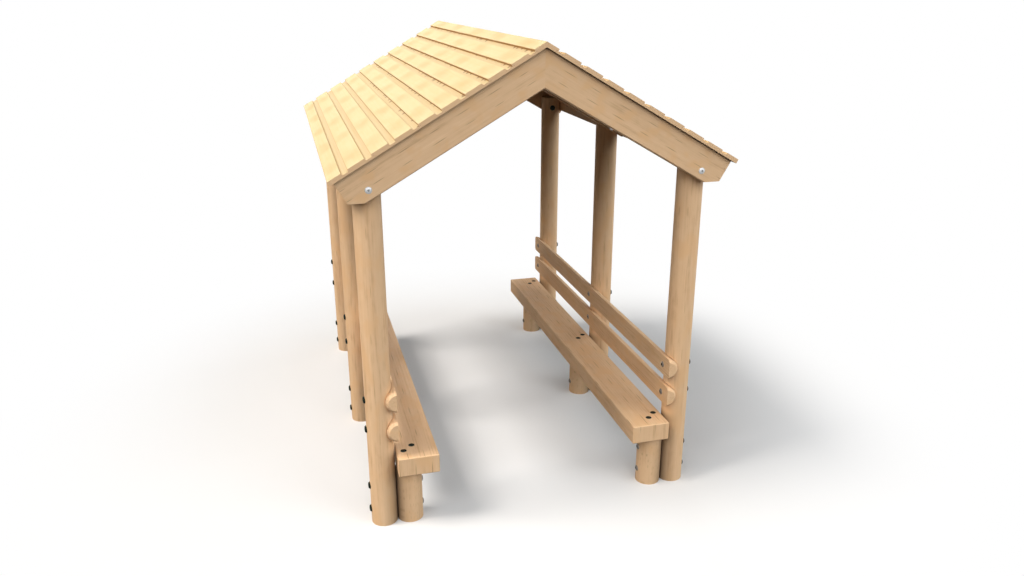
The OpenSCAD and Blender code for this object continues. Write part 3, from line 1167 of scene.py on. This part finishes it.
@dataclass(frozen=True)
class BroadLamp:
    """A broad soft lamp far away, which lights a face turned straight to it at the given level.

    Its azimuth is 0 behind the shelter, 90 on the right and -90 on the left, and its height is over the
    floor, both in degrees: the way to it is (sin a cos h, cos a cos h, sin h).
    """

    name: str
    azimuth: float
    height: float
    level: float
    colour: Colour = (1.0, 1.0, 1.0)
    spread: float = 42.0
    distance: float = 8.0

    def hang(self) -> None:
        """Puts the lamp in the scene, shining from its way towards the shelter."""
        azimuth, height = math.radians(self.azimuth), math.radians(self.height)
        flat = math.cos(height)
        way = Vector((math.sin(azimuth) * flat, math.cos(azimuth) * flat, math.sin(height)))
        lamp = bpy.data.lights.new(self.name, "SUN")
        lamp.energy = math.pi * self.level
        lamp.color = self.colour
        lamp.angle = math.radians(self.spread)
        holder = bpy.data.objects.new(self.name, lamp)
        holder.rotation_euler = way.to_track_quat("Z", "Y").to_euler()
        holder.location = way * self.distance
        bpy.context.scene.collection.objects.link(holder)


@dataclass
class Studio:
    """The pale floor, the soft light and the camera at the picture's viewpoint."""

    camera_at: Point = (-1.0771, -4.6348, 2.4438)
    camera_yaw: float = 15.2
    camera_drop: float = 19.54
    focal_pixels: float = 844.78
    picture_pixels: float = 1024.0
    sensor_mm: float = 36.0
    sight_end: float = 1000.0
    floor_radius: float = 400.0
    floor_rings: int = 12
    floor_segments: int = 64
    floor_ease: int = 3
    floor_seen: Colour = (0.74, 0.74, 0.74)
    floor_bounce: Colour = (0.03, 0.03, 0.03)
    shadow_fade: Span = (1.3, 2.9)
    sky: float = 0.01
    lamps: tuple[BroadLamp, ...] = (
        BroadLamp("left_key", azimuth=-90.0, height=55.0, level=0.88, colour=(1.0, 0.95, 0.89), spread=22.0),
        BroadLamp("left_low", azimuth=-90.0, height=15.0, level=0.09, colour=(1.0, 0.90, 0.80)),
        BroadLamp("left_front", azimuth=-135.0, height=35.0, level=0.38),
        BroadLamp("front", azimuth=180.0, height=21.0, level=0.195, spread=20.0),
        BroadLamp("front_high", azimuth=180.0, height=38.0, level=0.13, spread=30.0),
        BroadLamp("right_front", azimuth=135.0, height=35.0, level=0.40, colour=(0.90, 0.96, 1.0)),
        BroadLamp("right_side", azimuth=86.0, height=7.0, level=0.44, colour=(0.95, 0.98, 1.0), spread=30.0),
        BroadLamp("back", azimuth=0.0, height=8.0, level=0.26, spread=30.0),
    )

    @staticmethod
    def seen(sheet: NodeSheet) -> Socket:
        """Tells what is seen from what lights the scene.

        Args:
            sheet: The material's or the world's nodes.

        Returns:
            1 for what the camera sees straight, in gloss or through glass, and 0 for the rest.
        """
        path = sheet.add("ShaderNodeLightPath").outputs
        gloss = sheet.math("MAXIMUM", path["Is Glossy Ray"], path["Is Transmission Ray"])
        return sheet.math("MAXIMUM", path["Is Camera Ray"], gloss)

    def add_floor(self) -> None:
        """Lays a round level floor: white to the eye, with a shadow that fades, and dim in what it lights."""
        rings, segments = self.floor_rings, self.floor_segments
        radius = self.floor_radius * np.linspace(0.0, 1.0, rings + 1)[1:, None] ** self.floor_ease
        grid = ring_points(np.repeat(radius, segments, axis=1), np.zeros(rings))
        index = 1 + np.arange(rings * segments).reshape(rings, segments)
        mesh = bpy.data.meshes.new("floor")
        points = np.concatenate((np.zeros((1, 3)), grid))
        mesh.from_pydata(points.tolist(), [], ring_faces(index, pole=0))
        floor = bpy.data.objects.new("floor", mesh)
        bpy.context.scene.collection.objects.link(floor)
        sheet = MaterialSheet("pale_floor")
        sheet.tree.nodes.remove(sheet.shader)
        bounce, shade = (
            sheet.add("ShaderNodeBsdfDiffuse", {"Color": (*colour, 1.0)}).outputs[0]
            for colour in (self.floor_bounce, self.floor_seen)
        )
        x, y, _ = sheet.split(sheet.here())
        away = sheet.remap(sheet.length(x, y), *self.shadow_fade)
        white = sheet.add("ShaderNodeEmission").outputs[0]
        surface = sheet.blend(self.seen(sheet), bounce, sheet.blend(away, shade, white))
        sheet.feed(sheet.tree.nodes["Material Output"].inputs, {"Surface": surface})
        mesh.materials.append(sheet.material)

    def add_light(self) -> None:
        """Lights the shelter with an even sky and broad lamps all round, the strongest from the left."""
        world = bpy.data.worlds.new("soft_sky")
        bpy.context.scene.world = world
        world.use_nodes = True
        sheet = NodeSheet(world.node_tree)
        strength = sheet.between(self.seen(sheet), (self.sky, 1.0))
        white = {"Color": (1.0, 1.0, 1.0, 1.0), "Strength": strength}
        sheet.feed(world.node_tree.nodes["Background"].inputs, white)
        for lamp in self.lamps:
            lamp.hang()

    def add_camera(self) -> None:
        """Sets the camera at the picture's viewpoint."""
        lens = bpy.data.cameras.new("picture_view")
        lens.sensor_width = self.sensor_mm
        lens.lens = self.focal_pixels / self.picture_pixels * self.sensor_mm
        lens.clip_end = self.sight_end
        camera = bpy.data.objects.new("picture_view", lens)
        camera.location = self.camera_at
        camera.rotation_euler = (math.radians(90.0 - self.camera_drop), 0.0, math.radians(-self.camera_yaw))
        bpy.context.scene.collection.objects.link(camera)
        bpy.context.scene.camera = camera

    def build(self) -> None:
        """Builds the floor, the light and the camera, and sets the plain view."""
        self.add_camera()
        self.add_floor()
        self.add_light()
        bpy.context.scene.view_settings.view_transform = "Standard"
        LOG.info("floor, light and camera are set")


def main() -> None:
    """Builds the sub-assemblies in order."""
    logging.basicConfig(level=logging.INFO, format="%(name)s: %(message)s")
    patterns = TimberPatterns()
    plastic = CAP_PLASTIC.material()
    rafter_steel, shaded_bench_steel = RAFTER_STEEL.material(), SHADED_BENCH_STEEL.material()
    Studio().build()
    Posts(patterns).dress()
    for side in Side:
        bench = Bench(side, patterns, shaded_bench_steel, plastic)
        bench.dress()
        bench.add_fittings()
    rafters = Rafters(patterns, rafter_steel, plastic)
    rafters.dress()
    rafters.add_fittings()
    ShiplapRoof(patterns).dress()


if __name__ == "__main__":
    main()
